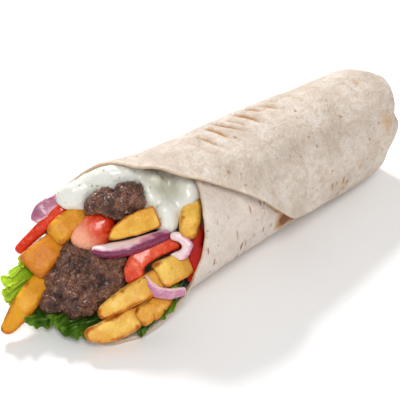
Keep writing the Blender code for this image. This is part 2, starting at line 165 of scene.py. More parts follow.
def through(stations, place):
    """The smooth curve through (place, value) stations, read at many places."""
    at, value = np.array(stations, float).T
    slope = np.empty_like(value)
    slope[1:-1] = (value[2:] - value[:-2]) / (at[2:] - at[:-2])
    slope[0] = (value[1] - value[0]) / (at[1] - at[0])
    slope[-1] = (value[-1] - value[-2]) / (at[-1] - at[-2])
    i = np.clip(np.searchsorted(at, place) - 1, 0, len(at) - 2)
    step = at[i + 1] - at[i]
    share = np.clip((place - at[i]) / step, 0, 1)
    square, cube = share**2, share**3
    return (
        (2 * cube - 3 * square + 1) * value[i] + (cube - 2 * square + share) * slope[i] * step
        + (3 * square - 2 * cube) * value[i + 1] + (cube - square) * slope[i + 1] * step)


def eased(low, high, value):
    """0 below low, 1 above high, and a smooth rise between them. Low may be above high."""
    share = np.clip((value - low) / (high - low), 0, 1)
    return share * share * (3 - 2 * share)


def lumps(points, size, seed=0):
    """Soft random lumps of about one size, from -1 to 1, at many points."""
    scaled = np.asarray(points, float) / size + seed * 17.31
    return np.array([noise.noise(Vector(point)) for point in scaled.tolist()])


def new_piece(name, points, faces):
    """A smooth mesh object at the origin, from plain points and faces."""
    mesh = bpy.data.meshes.new(name)
    mesh.from_pydata(np.asarray(points, float).tolist(), [], faces)
    piece = bpy.data.objects.new(name, mesh)
    bpy.context.scene.collection.objects.link(piece)
    mesh.shade_smooth()
    return piece


def give(piece, name, values):
    """Keeps one number for each point of a piece, for its node trees to read."""
    attribute = piece.data.attributes.new(name, "FLOAT", "POINT")
    attribute.data.foreach_set("value", np.asarray(values, np.float32))


def new_sheet(name, outer, inner, faces, kept):
    """A sheet laid flat, with what its points keep: values for both sides, or (outer, inner) values."""
    piece = new_piece(name, np.concatenate([outer, inner]), faces)
    for kept_name, values in kept.items():
        sides = values if isinstance(values, tuple) else (values, values)
        give(piece, kept_name, np.concatenate(sides))
    return piece


def closed_sheet(columns, rows, loop=False):
    """Faces of a sheet with two sides: points run row by row, all of the outer side first. A loop's
    last column meets its first."""
    def quads(*corners):
        return np.stack(corners, -1).reshape(-1, 4).tolist()

    outer = np.arange(columns * rows).reshape(rows, columns)
    if loop:
        outer = np.concatenate([outer, outer[:, :1]], 1)
    inner = outer + columns * rows
    faces = quads(outer[:-1, :-1], outer[1:, :-1], outer[1:, 1:], outer[:-1, 1:])
    faces += quads(inner[:-1, :-1], inner[:-1, 1:], inner[1:, 1:], inner[1:, :-1])
    faces += quads(outer[0, :-1], outer[0, 1:], inner[0, 1:], inner[0, :-1])
    faces += quads(outer[-1, 1:], outer[-1, :-1], inner[-1, :-1], inner[-1, 1:])
    if not loop:
        faces += quads(outer[1:, 0], outer[:-1, 0], inner[:-1, 0], inner[1:, 0])
        faces += quads(outer[:-1, -1], outer[1:, -1], inner[1:, -1], inner[:-1, -1])
    return faces


def new_tree(name, sizes):
    """A Geometry Nodes tree with named sizes: gives it, what comes in, and the sizes as values."""
    tree = bpy.data.node_groups.new(name, "GeometryNodeTree")
    for way in ("INPUT", "OUTPUT"):
        tree.interface.new_socket("Geometry", in_out=way, socket_type="NodeSocketGeometry")
    for size in sizes:
        tree.interface.new_socket(size, in_out="INPUT", socket_type="NodeSocketFloat")
    given = tree.nodes.new("NodeGroupInput")
    return tree, Value(tree, given.outputs[0]), [Value(tree, given.outputs[size]) for size in sizes]


def end_tree(shape, material):
    """Ends a Geometry Nodes tree in plain geometry that wears a material."""
    whole = shape.node("GeometryNodeRealizeInstances", None, {0: shape})
    dressed = whole.node("GeometryNodeSetMaterial", None, {0: whole, "Material": material})
    dressed.node("NodeGroupOutput", None, {0: dressed})


def run_tree(piece, tree, sizes):
    """Runs a tree on a piece and keeps what it makes as a plain closed mesh that faces outwards."""
    change = piece.modifiers.new("shape", "NODES")
    change.node_group = tree
    for socket in tree.interface.items_tree:
        if socket.name in sizes:
            change[socket.identifier] = sizes[socket.name]
    bpy.context.view_layer.update()
    made = piece.evaluated_get(bpy.context.evaluated_depsgraph_get())
    mesh = bpy.data.meshes.new_from_object(made)
    piece.modifiers.remove(change)
    shape = bmesh.new()
    shape.from_mesh(mesh)
    bmesh.ops.remove_doubles(shape, verts=shape.verts, dist=1e-7)
    loose = [edge for edge in shape.edges if not edge.link_faces]
    bmesh.ops.delete(shape, geom=loose, context="EDGES")
    if shape.calc_volume(signed=True) < 0:
        bmesh.ops.reverse_faces(shape, faces=shape.faces)
    shape.to_mesh(mesh)
    shape.free()
    mesh.shade_smooth()
    piece.data = mesh


def tint(red, green, blue):
    """A colour as the eye names it, 0 to 255, in the linear values that light is worked out with."""
    shares = np.array([red, green, blue]) / 255
    linear = np.where(shares < 0.04045, shares / 12.92, ((shares + 0.055) / 1.055) ** 2.4)
    return (*linear.tolist(), 1.0)


def new_material(name):
    """An empty material, and the start of its tree: its place on the object, in millimetres."""
    material = bpy.data.materials.new(name)
    material.use_nodes = True
    material.node_tree.nodes.clear()
    place = Value(material.node_tree).node("ShaderNodeTexCoord", out="Object")
    scaled = place.node("ShaderNodeVectorMath", {"operation": "SCALE"}, {0: place, "Scale": 1000.0})
    return material, scaled


def stored(start, name):
    """What the points of a piece keep under a name, for its material to read."""
    return start.node("ShaderNodeAttribute", {"attribute_name": name}, out="Fac")


def on_sheet(start):
    """The place on a sheet as it lay flat, in millimetres, so that a pattern follows its turns."""
    return start.node(
        "ShaderNodeCombineXYZ", None, {0: stored(start, "around"), 1: stored(start, "along")})


def coat(start, colour, roughness, relief, depth, **uniform):
    """Ends a material: its colour, roughness, and a relief of so many millimetres."""
    bump_inputs = {"Height": relief, "Distance": depth * MM, "Strength": 1.0}
    bump = start.node("ShaderNodeBump", None, bump_inputs)
    inputs = {"Base Color": colour, "Roughness": roughness, "Normal": bump}
    inputs.update({name.replace("_", " "): value for name, value in uniform.items()})
    surface = start.node("ShaderNodeBsdfPrincipled", None, inputs)
    surface.node("ShaderNodeOutputMaterial", None, {"Surface": surface})


# Creases across the top of the outer turn, where the sheet was bent while it was still soft
CREASE_STRENGTHS = (0.5, 0.7, 1.0, 0.9, 0.75, 1.0, 1.0, 0.85, 0.6, 0.4)
CREASE_FIRST_X, CREASE_STEP = -22.0, 7.2
CREASE_MIDDLE, CREASE_DRIFT, CREASE_REACH = 184.0, 2.7, 17.5
CREASE_DEPTH, CREASE_WIDTH = 1.9, 1.0
CREASE_SLANT, CREASE_BEND = 0.10, 0.004
RIDGE_PLACE, RIDGE_WIDTH, RIDGE_HEIGHT = 2.2, 1.8, 1.0

# Toasted patches: degrees, x, half lengths round the roll and along it, how dark
TOASTED = [
    (-77, 10, 7.5, 6.6, 1.5), (-70, 19, 6.5, 6, 1.4), (280, 51, 1.6, 1.4, 1.0),
    (276, 47, 0.9, 1.2, 0.9), (243, 84, 9, 6, 0.42), (194, 82, 2.5, 2, 0.5), (270, 60, 4, 3, 0.35),
    (283, 47, 3, 3, 0.4), (150, 70, 6, 5, 0.35), (80, 40, 8, 6, 0.4), (30, 70, 7, 8, 0.4),
    (110, -10, 6, 7, 0.35), (60, -30, 5, 4, 0.4),
]
# Where brown dashes gather: degrees, x, half lengths round the roll and along it, how many
DASHED = [
    (-96, -36, 14, 12, 1.0), (-104, -8, 8, 12, 0.8), (-72, -14, 14, 18, 1.0),
    (-60, 10, 8, 22, 0.8), (282, 40, 8, 22, 0.9), (285, 75, 8, 12, 0.6), (120, 30, 20, 20, 0.4),
    (30, -40, 20, 18, 0.5),
]


def creases(turn, x):
    """How deep in a crease each point lies, from 0 to 1, and how far up between two, likewise."""
    deep = np.zeros_like(x)
    proud = np.zeros_like(x)
    for number, strength in enumerate(CREASE_STRENGTHS):
        to_turn, to_slant, to_x, to_reach = (
            math.sin(number * rate + 0.5) for rate in (1.7, 2.1, 4.3, 2.9))
        round_it = turn - CREASE_MIDDLE + CREASE_DRIFT * number - 3.0 * to_turn
        bend = CREASE_BEND * round_it**2 + (CREASE_SLANT + 0.05 * to_slant) * round_it
        away = x - CREASE_FIRST_X - CREASE_STEP * number - 0.8 * to_x - bend
        reach = np.exp(-(np.abs(round_it / (CREASE_REACH * (0.85 + 0.3 * to_reach))) ** 3))
        reach *= strength
        deep += reach * np.exp(-((away / CREASE_WIDTH) ** 2))
        proud += reach * np.exp(-(((away - RIDGE_PLACE) / RIDGE_WIDTH) ** 2))
    return np.clip(deep, 0, 1), np.clip(proud, 0, 1)


def patches(places, turn, x):
    """How strongly each point lies in one of the soft-edged patches."""
    found = np.zeros_like(x)
    for at_turn, at_x, half_round, half_along, strength in places:
        away = ((turn - at_turn) * MM_PER_DEGREE / half_round) ** 2 + ((x - at_x) / half_along) ** 2
        found = np.maximum(found, strength * np.exp(-away))
    return found


# Blisters from the plate: how high and how large they are, in mm
BLISTERS = ((0.45, 17), (0.32, 8), (0.2, 3.4))


def bread_relief(around, x, turn):
    """How far the soft sheet stands proud of its even shape, in mm; less where it lies covered."""
    flat = np.stack([around, x, np.zeros_like(x)], 1)
    proud = sum(high * lumps(flat, size, seed) for seed, (high, size) in enumerate(BLISTERS, 2))
    covered = eased(-36, -44, turn) * eased(-4, 3, x - through(FRONT_EDGE, turn + 360))
    return proud * (1 - 0.8 * covered)


def sagging(x, turn):
    """How the whole roll swells and gives under the hand, in mm, alike for every sheet in it."""
    way = np.radians(turn)
    return 0.7 * lumps(np.stack([x * 0.022, np.sin(way) * 1.1, np.cos(way) * 1.1], 1), 1.0)


# Columns run round the roll, few of them where the sheet is hidden. Rows run along it, close together
# at the rim and over the creases, and are placed by their share of the way from the rim to the tail.
HIDDEN_COLUMNS, SEEN_COLUMNS, SEEN_FROM = 6, 284, -128.0
RIM_ROWS, FRONT_ROWS, CREASE_ROWS, TAIL_ROWS = 5, 26, 98, 42
RIM_TO, CREASES_FROM, CREASES_TO = 0.012, 0.22, 0.66
RIM_ROUNDING, RIM_REACH = 0.42, 0.55
# The flap's edge stands off the turn below, more so past the gape, but its corner is laid down again
FLAP_LIFT, FLAP_LIFT_REACH = 2.8, 7.0
GAPE, GAPE_START, GAPE_END = 0.7, 205, 240
LAID_DOWN, LAID_DOWN_START, LAID_DOWN_END = 0.95, 266, 300
# How far the painted shade under the flap's edge reaches over the turn below, in mm
UNDER_FLAP_SHADE_REACH = 2.4
turns = np.concatenate([
    np.linspace(INNER_TURN_START, SEEN_FROM, HIDDEN_COLUMNS, endpoint=False),
    np.linspace(SEEN_FROM, OUTER_TURN_END, SEEN_COLUMNS)])
shares = np.concatenate([
    RIM_TO * np.linspace(0, 1, RIM_ROWS, endpoint=False) ** 1.5,
    np.linspace(RIM_TO, CREASES_FROM, FRONT_ROWS, endpoint=False),
    np.linspace(CREASES_FROM, CREASES_TO, CREASE_ROWS, endpoint=False),
    np.linspace(CREASES_TO, 1, TAIL_ROWS)])
turn, share = (grid.ravel() for grid in np.meshgrid(turns, shares))
around = turn * MM_PER_DEGREE
rim_points = np.stack([around, 0 * turn, 0 * turn], 1)
front = through(FRONT_EDGE, turn) + 0.9 * lumps(rim_points, 9) + 0.4 * lumps(rim_points, 3, 1)
tail = through(TAIL_EDGE, turn)
x = front + (tail - front) * share
from_rim = np.minimum(x - front, (OUTER_TURN_END - turn) * MM_PER_DEGREE)
# Painted shade on the turn below, in a band along the flap's edge; it rides with the toasted patches
to_flap = through(FRONT_EDGE, turn + 360) - x
painted_shade_under_flap = np.exp(-((to_flap / UNDER_FLAP_SHADE_REACH) ** 2))
painted_shade_under_flap *= eased(-136, -85, turn) * eased(-44, -50, turn)
painted_shade_under_flap *= 0.5 + 0.35 * lumps(rim_points, 5, 9)
crease, between = creases(turn, x)
proud = bread_relief(around, x, turn) - CREASE_DEPTH * crease + RIDGE_HEIGHT * between
lift = FLAP_LIFT * np.exp(-(x - front) / FLAP_LIFT_REACH) * eased(LAP_END - 10, LAP_END + 10, turn)
lift *= 1 + GAPE * eased(GAPE_START, GAPE_END, turn)
lift *= 1 - LAID_DOWN * eased(LAID_DOWN_START, LAID_DOWN_END, turn)
rounding = RIM_ROUNDING * np.exp(-from_rim / RIM_REACH) * BREAD_THICK
outer = np.stack([turn, x, rounding - proud - lift], 1)
inner = np.stack([turn, x, BREAD_THICK - rounding - 0.6 * proud - lift], 1)
zero = np.zeros_like(x)
bread = new_sheet("bread", outer, inner, closed_sheet(len(turns), len(shares)), {
    "tail": tail, "sag": sagging(x, turn), "from_rim": from_rim, "around": around, "along": x,
    "toast_and_shade": (np.maximum(patches(TOASTED, turn, x), painted_shade_under_flap), zero),
    "dashed": (patches(DASHED, turn, x), zero), "crease": (crease, zero),
})

ROLL_SIZES = {
    "Turn step": TURN_STEP, "Mouth x": MOUTH_X, "Mouth radius": MOUTH_RADIUS, "Tail x": TAIL_X,
    "Tail radius": TAIL_RADIUS, "Pressed flat": PRESSED_FLAT, "Lap start": LAP_START,
    "Lap end": LAP_END, "Lip start": LIP_START, "Lip opening": LIP_OPENING,
    "Far bulge": FAR_BULGE, "Tuck length": TUCK_LENGTH, "Tuck depth": TUCK_DEPTH,
}


def rolling_tree(name, material):
    """Rolls up a flat sheet whose points hold degrees round the roll, x, and depth below its outer
    side, all as plain numbers; its attributes tail and sag say where it ends and how it gives."""
    tree, flat, sizes = new_tree(name, ROLL_SIZES)
    (turn_step, mouth_x, mouth_radius, tail_x, tail_radius, pressed, lap_start, lap_end, lip_start,
     lip_opening, far_bulge, tuck_length, tuck_depth) = sizes

    def own(name):
        return flat.node("GeometryNodeInputNamedAttribute", {"data_type": "FLOAT"}, {"Name": name})

    position = flat.node("GeometryNodeInputPosition")
    angle = flat.node("ShaderNodeSeparateXYZ", None, {0: position})
    along, depth = angle.also(1), angle.also(2)
    radius = mouth_radius + (tail_radius - mouth_radius) * ((along - mouth_x) / (tail_x - mouth_x))
    radius = radius - turn_step + own("sag")
    height = radius - pressed
    far_top = angle.eased(70, 110) * angle.eased(175, 140)
    radius = radius + far_bulge * far_top * along.eased(-40, -62)
    radius = radius + turn_step * angle.eased(lap_start, lap_end)
    tucked = (1 + (along - own("tail")) / tuck_length).at_least(0).at_most(1)
    radius = radius - tuck_depth * (1 - (1 - tucked * tucked).sum("SQRT"))
    past_lip = (lip_start - along).at_least(0) * (angle < 0)
    opened = radius / (1 - lip_opening * past_lip).at_least(0.05)
    turned = angle * math.radians(1) * radius / opened
    height = height + opened - radius
    radius = opened - depth
    up = (height - radius * turned.sum("COSINE")).at_least(depth)
    across = radius * turned.sum("SINE")
    rolled = flat.node("ShaderNodeCombineXYZ", None, {0: along * MM, 1: across * MM, 2: up * MM})
    moved = flat.node("GeometryNodeSetPosition", None, {0: flat, "Position": rolled})
    end_tree(moved, material)
    return tree


# Cream where the plate left it pale, mottled, with pinholes, brown specks and dashes; painted shade in
# the creases and along the flap's edge, and painted light on the inner turn
bread_look, start = new_material("flatbread")
sheet = on_sheet(start)
cloud = sheet.noise(16, 4)
patchy = sheet.stretched(1.0, 0.6, 1.0).noise(3.2, 5, 0.62)
fine = sheet.noise(1.3, 5, 0.62)


def dots(vector, spacing, dot):
    """Dots of uneven size, at most one in each cell of a grid, and fewer of the large ones."""
    cells = vector.node(
        "ShaderNodeTexVoronoi", {"feature": "F1"}, {"Vector": vector, "Scale": 1 / spacing})
    size = cells.node("ShaderNodeSeparateColor", None, {0: cells.also(1)})
    return (cells / (size * size + 0.001)).eased(dot, dot * 0.5)


specks = dots(sheet, 5.0, 0.21)
beside = sheet.node("ShaderNodeVectorMath", {"operation": "ADD"}, {0: sheet, 1: (3.3, 1.7, 0.0)})
spots = dots(beside, 11.0, 0.13)
wrinkled = sheet.noise(22, 2).eased(0.35, 0.6)
creased = sheet.stretched(0.55, 1.25, 1.0).noise(2.0, 4, 0.62, 1.2)
wrinkles = 0.5 + (0.25 + 0.75 * wrinkled) * (creased - 0.5)
pinholes = dots(sheet, 2.2, 0.24)
dashes = dots(sheet.stretched(0.35, 1.5, 1.0), 2.9, 0.46) * stored(start, "dashed").eased(0.15, 0.7)
# Toasted patches brown the bread, and the painted shade along the flap's edge darkens it the same way
toast_and_shade = stored(start, "toast_and_shade")
scorch_and_shade = (toast_and_shade * (0.55 + fine)).at_most(1)
base = cloud.eased(0.35, 0.66).mixed(tint(212, 197, 182), tint(228, 217, 206))
base = (patchy.eased(0.42, 0.68) * 0.6).mixed(base, tint(198, 176, 154))
base = (fine.eased(0.48, 0.72) * 0.4).mixed(base, tint(194, 168, 143))
base = (wrinkles.eased(0.5, 0.72) * 0.36).mixed(base, tint(190, 164, 138))
# The creases are painted golden brown, as painted shade
base = (stored(start, "crease").eased(0.15, 0.8) * 0.9).mixed(base, tint(176, 122, 56))
# The inner turn is painted paler, as painted light
painted_light_inner_turn = stored(start, "around").eased(-20, -26)
base = (painted_light_inner_turn * 0.4).mixed(base, tint(240, 228, 222))
base = (pinholes * 0.35).mixed(base, tint(176, 142, 110))
base = (specks * 0.6).mixed(base, tint(166, 118, 84))
base = (spots * 0.7).mixed(base, tint(172, 112, 72))
base = (dashes * 0.85).mixed(base, tint(148, 94, 56))
base = scorch_and_shade.eased(0.15, 0.6).mixed(base, tint(200, 158, 112))
base = scorch_and_shade.eased(0.6, 1.0).mixed(base, tint(140, 84, 48))
rim = stored(start, "from_rim").eased(1.0, 0.1)
base = (rim * 0.55).mixed(base, tint(196, 158, 112))
pitted = (pinholes + specks + dashes) * 0.15
height = cloud * 0.4 + patchy * 0.6 + fine * 0.45 + wrinkles * 0.65 - pitted
coat(
    start, base, 0.8 - 0.12 * scorch_and_shade, height, 1.4, Subsurface_Weight=0.08,
    Subsurface_Radius=(1.0, 0.7, 0.45), Subsurface_Scale=1.0 * MM, Specular_IOR_Level=0.3)

run_tree(bread, rolling_tree("rolling", bread_look), ROLL_SIZES)
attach(bread, "root")
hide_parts("flatbread")


# The tucked end: the turned-in side of the same bread, wound up in a spiral of soft, pleated folds
# that close the roll behind the filling. It is part of the sheet and grows out of its rim.

TUCK_MIDDLE_X, TUCK_FOLD_WIDTH, TUCK_FOLD_HEIGHT = 104.5, 9.5, 1.6
TUCK_IN, TUCK_DOMED, TUCK_SLACK = 1.5, 3.6, 1.9
PLEATS, PLEAT_HEIGHT, DIMPLE_HEIGHT, DIMPLE_SIZE = 13, 0.45, 0.5, 0.22
# One fold is pushed out, and its tip is browned: degrees, share of the way out from the middle, how far
# each reaches round and outwards, and how much
PUSHED_OUT = (268, 0.78, 26, 0.16, 6.5)
BROWNED = (262, 0.8, 9, 0.06, 0.9)
END_COLUMNS, END_RINGS = 240, 100
# The end goes round once, to where the outer turn stops
SEAM_START = OUTER_TURN_END - 360
# Values that put the end past the reach of what the rolled sheet does at its rims, and its pattern
# beside the sheet's own
NO_TAIL, FAR_FROM_RIM, BESIDE_THE_SHEET = 999, 9, 300


def swelling(at_turn, at_share, reach_round, reach_out, most):
    """A soft bump on the tucked end, at all of its points."""
    round_it, outwards = (turn - at_turn) / reach_round, (share - at_share) / reach_out
    return most * np.exp(-(round_it**2) - outwards**2)


turn, share = (grid.ravel() for grid in np.meshgrid(
    np.linspace(SEAM_START, OUTER_TURN_END, END_COLUMNS, endpoint=False),
    np.linspace(1, 0, END_RINGS) ** 0.8))
seam = through(TAIL_EDGE, np.array([SEAM_START, OUTER_TURN_END]))
tail = through(TAIL_EDGE, turn) + (seam[1] - seam[0]) * eased(0, SEAM_START, turn)
way = np.radians(turn)
disc = np.stack([share * np.sin(way), share * np.cos(way), 0 * way], 1)
wander = 0.16 * (1 - share) * lumps(disc, 0.5, 6)
fold = (share * TAIL_RADIUS / TUCK_FOLD_WIDTH + turn / 360 + wander) % 1.0
x = tail - TUCK_IN + (TUCK_MIDDLE_X - tail) * (1 - share**TUCK_DOMED) + swelling(*PUSHED_OUT)
x += TUCK_FOLD_HEIGHT * (np.sin(math.pi * fold) ** 0.6 - 0.6) * (1 - share**6)
pleat = np.sin(way * PLEATS + 2.5 * lumps(disc, 0.6, 7)) * share**2 * (1 - share**8)
x += PLEAT_HEIGHT * pleat + DIMPLE_HEIGHT * (1 - share**6) * lumps(disc, DIMPLE_SIZE, 8)
sag = share * sagging(x, turn)
radius = MOUTH_RADIUS + (TAIL_RADIUS - MOUTH_RADIUS) * (x - MOUTH_X) / (TAIL_X - MOUTH_X) - TURN_STEP
radius += sag + TURN_STEP * eased(LAP_START, LAP_END, turn)
rim_depth = TUCK_SLACK + TURN_STEP * eased(285, OUTER_TURN_END, turn)
depth = radius * (1 - share) + rim_depth * share
outer = np.stack([turn, x, depth], 1)
inner = np.stack([turn, x - BREAD_THICK, depth + 0.02 * share], 1)
zero = np.zeros_like(x)
disc_mm = disc * TAIL_RADIUS
# Painted shade in the grooves between the folds, carried in the crease attribute
painted_groove_shade = 0.5 * eased(0.12, 0.0, np.minimum(fold, 1 - fold)) * (1 - share**6)
bread_end = new_sheet("bread_end", outer, inner, closed_sheet(END_COLUMNS, END_RINGS, loop=True), {
    "tail": zero + NO_TAIL, "sag": sag, "toast_and_shade": swelling(*BROWNED), "dashed": zero,
    "crease": painted_groove_shade, "from_rim": zero + FAR_FROM_RIM, "around": disc_mm[:, 0] + BESIDE_THE_SHEET,
    "along": disc_mm[:, 1],
})
run_tree(bread_end, rolling_tree("closing", bread_look), ROLL_SIZES)
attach(bread_end, "root")
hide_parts("flatbread")


# The lettuce: a fresh curly leaf that lines the lip under the filling. Its thin blade is bright and
# yellow-green where it ruffles out of the mouth, and greener further in; ribs branch over it.

LEAF_EDGE = [
    (-66, -58), (-52, -71), (-36, -84), (-20, -95), (0, -101), (24, -107), (46, -110), (64, -107),
    (82, -96),
]
LEAF_THICK, LEAF_LENGTH, LEAF_WAVE = 0.7, 42.0, 18.5
LEAF_MIDDLE, LEAF_HALF_WIDTH = 10, 76
LEAF_OFF_BREAD, LEAF_LEAST_OFF_BREAD = 1.6, 0.7
BLADE_THICK, BLADE_THINNED, RIB_HEIGHT = 0.45, 0.35, 0.3
# Where the edge stands up in frills: degrees, half width, height
LEAF_FRILLS = [(-56, 12, 4.0), (10, 22, 7.5), (62, 16, 6.5)]
# What is cut out of the edge, in mm
LOBE_DEPTH, LOBE_LENGTH, NICK_DEPTH, NICK_LENGTH = 2.4, 4.0, 1.7, 1.3
# Ruffles and the small ruffles on them: how many to a wave, how high, and degrees from side to side
RUFFLES, RUFFLE_HEIGHT, RUFFLE_SWING = 2.7, 2.0, 3.4
SMALL_RUFFLES, SMALL_RUFFLE_HEIGHT, SMALL_RUFFLE_SWING = 2.6, 0.9, 1.6
LEAF_COLUMNS, LEAF_ROWS = 420, 70
turn, inward = (grid.ravel() for grid in np.meshgrid(
    np.linspace(LEAF_EDGE[0][0], LEAF_EDGE[-1][0], LEAF_COLUMNS),
    np.linspace(0, 1, LEAF_ROWS) ** 1.3))
frill = sum(high * np.exp(-(((turn - at) / wide) ** 2)) for at, wide, high in LEAF_FRILLS)
near_edge = (1 - inward) ** 2.0
wave = np.radians(360) * turn / LEAF_WAVE + 0.8 * np.sin(turn * 0.11)
shorter = 0.75 * np.abs((turn - LEAF_MIDDLE) / LEAF_HALF_WIDTH) ** 3
x = through(LEAF_EDGE, turn) + LEAF_LENGTH * (1 - shorter) * inward**1.3
x += 1.2 * near_edge * np.sin(wave * 0.5 + 1)
lobes = np.stack([turn * MM_PER_DEGREE, 0 * turn, 0 * turn], 1)
cut_out = LOBE_DEPTH * lumps(lobes, LOBE_LENGTH, 11) + NICK_DEPTH * lumps(lobes, NICK_LENGTH, 12)
x += (1 - inward) ** 6 * (cut_out - 1.0)
swing = 0.9 * near_edge * np.cos(wave) * np.minimum(1, frill / 3)
stand = frill * near_edge * (0.5 + 0.5 * np.sin(wave))
blade = np.stack([turn * MM_PER_DEGREE, x, 0 * x], 1)
fine = (1 - inward) ** 4 * np.minimum(1, frill / 2.0)
ruffle = wave * RUFFLES + 5.0 * lumps(blade, 7, 13)
small = ruffle * SMALL_RUFFLES + 1
stand += fine * (RUFFLE_HEIGHT * np.sin(ruffle) + SMALL_RUFFLE_HEIGHT * np.sin(small) + 1.2)
swing += fine * (RUFFLE_SWING * np.cos(ruffle) + SMALL_RUFFLE_SWING * np.cos(small))
veins = np.abs(np.sin(np.radians(turn * 21 + 60 * lumps(blade, 14, 15) + 120 * inward)))
rib = eased(0.20, 0.0, veins) * eased(0.02, 0.3, inward)
depth = BREAD_THICK + LEAF_THICK + LEAF_OFF_BREAD + eased(-30, -55, turn) + stand
crinkles = 0.55 * np.abs(lumps(blade, 3.2, 17)) + 0.3 * np.abs(lumps(blade, 1.5, 16))
depth = np.maximum(depth, BREAD_THICK + LEAF_THICK + LEAF_LEAST_OFF_BREAD) + crinkles - 0.25 * rib
thick = BLADE_THICK - BLADE_THINNED * (1 - inward) ** 30 + RIB_HEIGHT * rib
outer = np.stack([turn + swing, x, depth], 1)
inner = np.stack([turn + swing, x, depth + thick], 1)
leaf = new_sheet("lettuce_leaf", outer, inner, closed_sheet(LEAF_COLUMNS, LEAF_ROWS), {
    "tail": np.full_like(x, NO_TAIL), "sag": sagging(x, turn), "inward": inward, "rib": rib,
    # The left side, where the frill turns up, is painted lighter, as painted light
    "painted_light_left_side": eased(28, 52, turn), "around": turn * MM_PER_DEGREE, "along": x,
})

leaf_look, start = new_material("lettuce")
blade = on_sheet(start)
cloud = blade.noise(6, 4)
fine = blade.noise(0.9, 4)
inward = stored(start, "inward")
green = inward.eased(0.0, 0.3).mixed(tint(96, 138, 20), tint(50, 88, 8))
green = inward.eased(0.3, 0.9).mixed(green, tint(40, 78, 8))
green = (cloud.eased(0.4, 0.62) * 0.65).mixed(green, tint(24, 56, 4))
# The left side of the leaf is painted a lighter yellow-green, as painted light
painted_lit_green = inward.eased(0.0, 0.6).mixed(tint(200, 226, 66), tint(130, 172, 14))
green = stored(start, "painted_light_left_side").mixed(green, painted_lit_green)
green = (stored(start, "rib") * 0.5).mixed(green, tint(184, 206, 96))
coat(
    start, green, 0.46 + 0.12 * fine, fine * 0.7 + cloud * 0.3, 0.6, Subsurface_Weight=0.2,
    Subsurface_Radius=(0.5, 1.0, 0.2), Subsurface_Scale=0.8 * MM, Specular_IOR_Level=0.3)
run_tree(leaf, rolling_tree("laying in", leaf_look), ROLL_SIZES)
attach(leaf, "root")
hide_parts("lettuce")


# The chips: potato cut into thick sticks and fried twice, so that the skin is crisp, blistered and
# golden, and browner along the cut edges. Each lies where its solid in the frame lies.

def edge_ends(mesh):
    """The two points that each edge joins."""
    ends = np.empty(len(mesh.edges) * 2, np.int64)
    mesh.edges.foreach_get("vertices", ends)
    return ends.reshape(-1, 2)


def softened(points, edges, rounds):
    """Each point moved towards the middle of its neighbours, again and again."""
    both_ways = np.concatenate([edges, edges[:, ::-1]])
    count = np.bincount(both_ways[:, 0], minlength=len(points))[:, None]
    for _ in range(rounds):
        near = np.stack([
            np.bincount(both_ways[:, 0], points[both_ways[:, 1], axis], len(points))
            for axis in range(3)], 1)
        points = 0.5 * points + 0.5 * near / np.maximum(count, 1)
    return points


class Refined:
    """A finer copy of one solid of the frame, evened out, with its points and normals in mm."""

    EVEN_ROUNDS = 40

    def __init__(self, name, node, fineness, rounds, swell):
        """Fineness and swell are in mm; rounds is how often the copy's edges are softened."""
        copy = bpy.data.meshes.new(name)
        shape = bmesh.new()
        shape.from_mesh(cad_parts[node].data)
        bmesh.ops.remove_doubles(shape, verts=shape.verts, dist=1e-6)
        shape.to_mesh(copy)
        shape.free()
        self.node = node
        self.piece = bpy.data.objects.new(name, copy)
        bpy.context.scene.collection.objects.link(self.piece)
        change = self.piece.modifiers.new("even", "REMESH")
        change.mode = "VOXEL"
        change.voxel_size = fineness * MM
        bpy.context.view_layer.update()
        made = self.piece.evaluated_get(bpy.context.evaluated_depsgraph_get())
        mesh = bpy.data.meshes.new_from_object(made)
        self.piece.modifiers.remove(change)
        self.piece.data = mesh
        self.edges = edge_ends(mesh)
        self.read()
        self.points = softened(self.points, self.edges, rounds)
        self.write()
        self.move(swell)
        smooth = softened(self.points, self.edges, self.EVEN_ROUNDS)
        self.proud = ((self.points - smooth) * self.normals).sum(1)

    def read(self):
        """Takes the points and normals from the mesh."""
        mesh = self.piece.data
        self.points, self.normals = np.empty((2, len(mesh.vertices) * 3))
        mesh.vertices.foreach_get("co", self.points)
        mesh.vertex_normals.foreach_get("vector", self.normals)
        self.points = self.points.reshape(-1, 3) / MM
        self.normals = self.normals.reshape(-1, 3)

    def write(self):
        """Puts the points back into the mesh."""
        self.piece.data.vertices.foreach_set("co", (self.points * MM).ravel())
        self.piece.data.update()
        self.read()

    def move(self, out):
        """Moves the skin outwards by so many mm, one number or one for each point."""
        self.points = self.points + self.normals * np.reshape(out, (-1, 1))
        self.write()

    def settle(self, material, slot):
        """Finishes the piece: what it wears, what it rides on and what it stands for."""
        self.piece.data.shade_smooth()
        self.piece.data.materials.clear()
        self.piece.data.materials.append(material)
        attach(self.piece, "root")
        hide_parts(self.node)


# Right, up and out of the mouth, as one looks into it, and its middle in mm
MOUTH_RIGHT, MOUTH_UP, MOUTH_OUT = (
    np.array(way) for way in ((0.719, -0.695, 0.0), (0.408, 0.423, 0.809), (-0.562, -0.582, 0.588)))
MOUTH_MIDDLE = np.array([-72.0, 2.0, 26.6])
# Each chip's tone, from yellow 0 to deep orange 1, how brown its edges are, and how creamy it is
CHIP_TONES = {
    "chip_long": (0.45, 0.8, 0.9), "chip_low_front": (0.4, 0.7, 1.0),
    "chip_near_wall": (0.6, 0.9, 0.8), "chip_far_low": (0.45, 0.6, 0.0),
    "chip_far_thick": (1.0, 0.7, 0.0), "chip_far_high": (0.55, 0.6, 0.1),
    "chip_top_slab": (0.28, 0.7, 0.6), "chip_under_sauce": (0.25, 0.5, 0.8),
    "chip_short": (0.3, 0.7, 1.0),
}
CHIP_SWELL = 0.2
